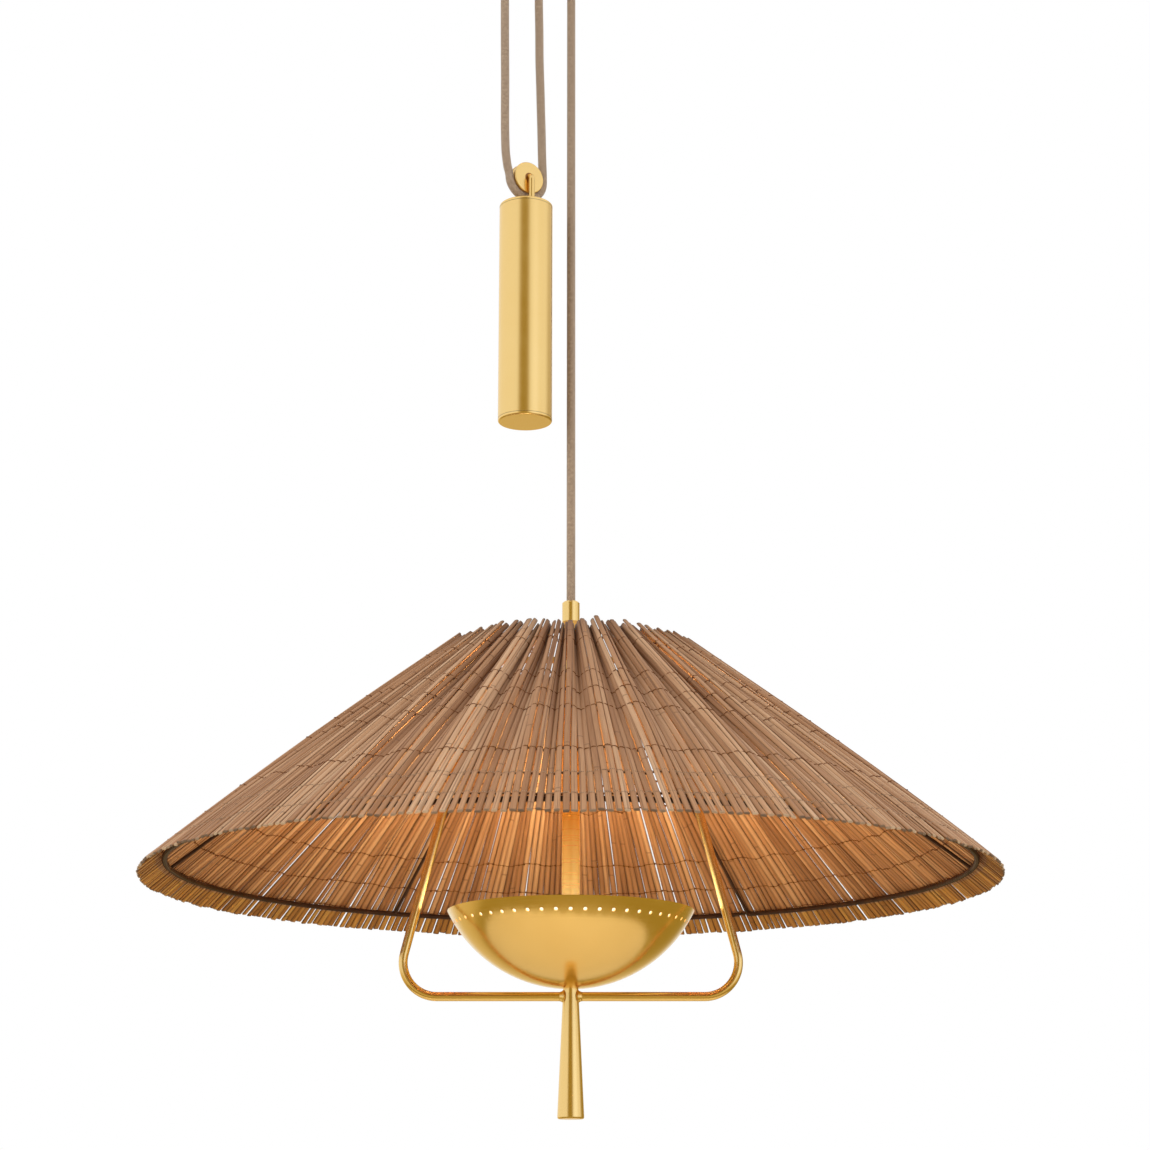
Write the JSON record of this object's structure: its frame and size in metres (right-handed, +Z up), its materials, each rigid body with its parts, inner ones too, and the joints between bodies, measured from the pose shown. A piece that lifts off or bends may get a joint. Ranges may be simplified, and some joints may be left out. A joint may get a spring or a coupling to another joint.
{
  "type": "rise and fall pendant",
  "caption": "Pendant lamp with a wide pleated shade of split bamboo over a pierced brass bowl, raised and lowered on a cord that runs over pulleys to a counterweight.",
  "frame": {"origin": "centre of the ceiling fitting's back face, on the ceiling, midway between its two fixing holes", "axes": "+Z up out of the ceiling face, +X right and +Y away from the viewer in the front view; the side frame lies in the XZ direction"},
  "size_m": [0.762, 0.762, 1.1491],
  "materials": {
    "brass": "satin, lightly brushed",
    "bronze": "plain bearing bronze",
    "steel": "zinc plated",
    "weight_metal": "raw, hidden in the tube",
    "dark_wire": "dark brown lacquer",
    "bamboo": "split sticks, varnished",
    "braided_cord": "braided taupe sleeve",
    "terminal_plastic": "moulded",
    "holder_white": "glazed ceramic white",
    "bulb_glass": "frosted"
  },
  "bodies": {
    "ceiling_fitting": {"mounting_plate": "steel", "canopy": "brass", "load_plate": "steel", "canopy_stud_front": "steel", "canopy_stud_rear": "steel", "dome_nut_front": "brass", "dome_nut_rear": "brass", "ground_screw": "steel", "terminal_block": "terminal_plastic", "cord_anchor": "brass", "anchor_nut": "steel", "pulley_fork": "brass", "fork_nut": "steel", "ceiling_axle": "brass", "axle_nut": "brass", "cord_anchor_run": "braided_cord", "cord_middle_run": "braided_cord", "cord_ceiling_wrap": "braided_cord", "cord_lamp_run": "braided_cord"},
    "ceiling_pulley": {"ceiling_pulley": "brass", "ceiling_bush": "bronze"},
    "counterweight": {"stirrup": "brass", "stirrup_nut_front": "steel", "stirrup_nut_rear": "steel", "weight_cap": "brass", "weight_tube": "brass", "weight_slug": "weight_metal", "weight_base": "brass", "cord_weight_wrap": "braided_cord"},
    "weight_pulley": {"weight_pulley": "brass", "weight_bush": "bronze"},
    "lamp": {"cord_grip": "brass", "stem": "brass", "stem_collar": "brass", "spider": "brass", "shade_wire_frame": "dark_wire", "shade_mat": "bamboo", "side_frame": "brass", "frame_nut_left": "brass", "frame_nut_right": "brass", "bowl": "brass", "stem_foot": "brass", "lamp_plate": "steel", "lampholder_1": "holder_white", "lampholder_2": "holder_white", "lampholder_3": "holder_white", "lampholder_4": "holder_white", "bulb_1": "bulb_glass", "bulb_2": "bulb_glass", "bulb_3": "bulb_glass", "bulb_4": "bulb_glass", "handle": "brass", "handle_stud": "steel"}
  },
  "joints": [
    {"name": "lamp_slide", "type": "slide", "parent": "ceiling_fitting", "child": "lamp", "axis": [0, 0, 1], "range_m": [-0.22, 0.12], "deforming": ["cord_lamp_run"]},
    {"name": "weight_slide", "type": "slide", "parent": "ceiling_fitting", "child": "counterweight", "axis": [0, 0, 1], "range_m": [-0.06, 0.11], "deforming": ["cord_anchor_run", "cord_middle_run"]},
    {"name": "ceiling_pulley_spin", "type": "hinge", "parent": "ceiling_fitting", "child": "ceiling_pulley", "pos_m": [0.0159, 0.00994, -0.058], "axis": [0.5299, -0.848, 0], "range_deg": [-691, 377]},
    {"name": "weight_pulley_spin", "type": "hinge", "parent": "counterweight", "child": "weight_pulley", "pos_m": [-0.01102, -0.00689, -0.281], "axis": [0.5299, -0.848, 0], "range_deg": [-189, 346]}
  ],
  "couplings": [
    {"joint": "weight_slide", "follows": "lamp_slide", "ratio": -0.5},
    {"joint": "ceiling_pulley_spin", "follows": "lamp_slide", "rad_per_m": 54.795},
    {"joint": "weight_pulley_spin", "follows": "lamp_slide", "rad_per_m": -27.397}
  ]
}
